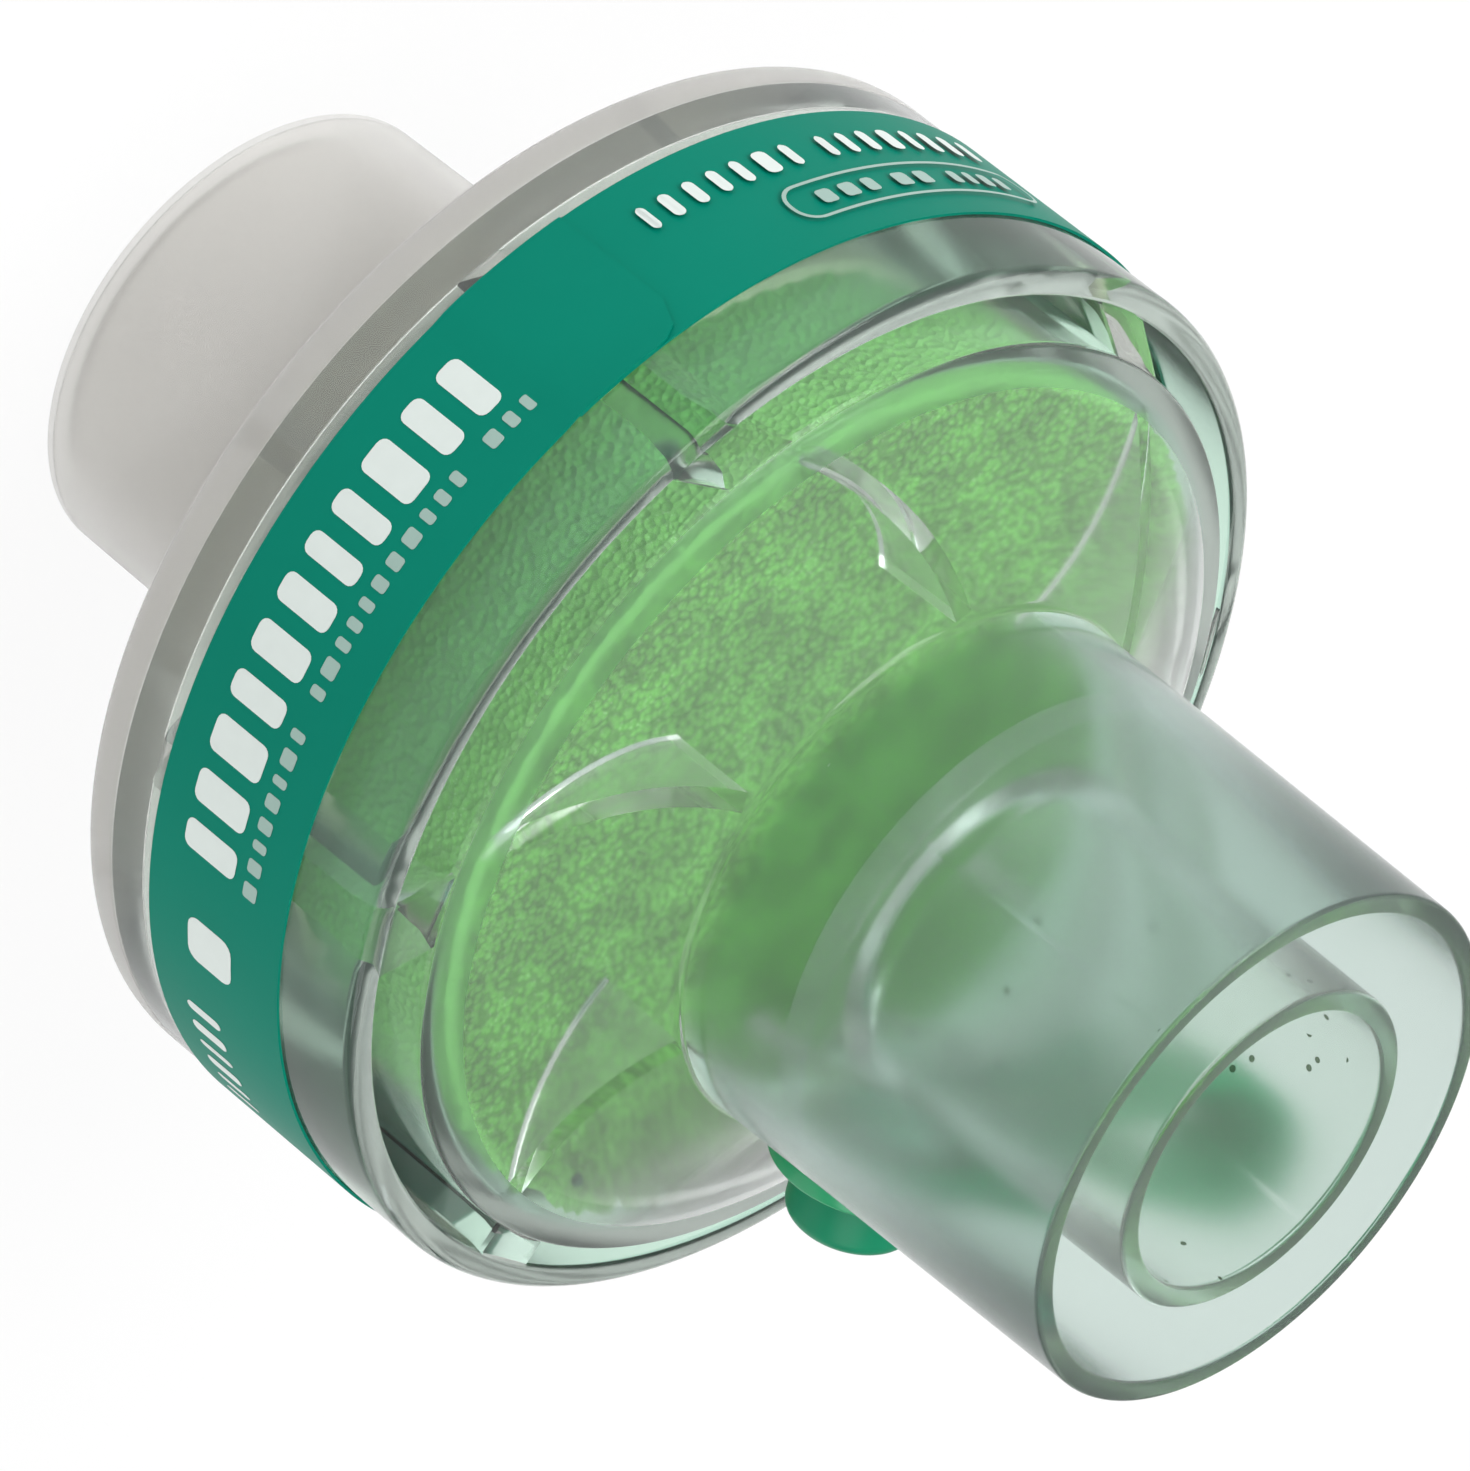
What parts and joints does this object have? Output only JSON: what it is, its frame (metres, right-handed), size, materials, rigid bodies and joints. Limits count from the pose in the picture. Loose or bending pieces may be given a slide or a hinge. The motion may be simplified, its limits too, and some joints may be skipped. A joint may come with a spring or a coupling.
{
  "type": "breathing circuit filter",
  "caption": "Heat and moisture exchange filter for a breathing circuit, with double conical ports, a clear welded housing, foam, felt and a capped sampling port.",
  "frame": {"origin": "centre of the far port's end face, on which the filter stands", "axes": "+Z along the flow axis, up to the near port; +X along the gas sampling port, outwards"},
  "size_m": [0.0498, 0.0498, 0.0634],
  "materials": {
    "clear_plastic": "clear moulded plastic, gloss",
    "milky_plastic": "milky moulded plastic, gloss",
    "foam": "open green foam",
    "felt": "cream felt",
    "label_film": "printed film, satin",
    "cap_plastic": "soft green moulded plastic"
  },
  "bodies": {
    "filter": {"front_housing": "clear_plastic", "rear_housing": "milky_plastic", "hme_foam": "foam", "filter_medium": "felt", "label": "label_film", "cap_strap": "cap_plastic"},
    "cap": {"luer_cap": "cap_plastic"}
  },
  "joints": [
    {"name": "cap_pull", "type": "slide", "parent": "filter", "child": "cap", "axis": [1, 0, 0], "range_m": [0, 0.006]}
  ]
}
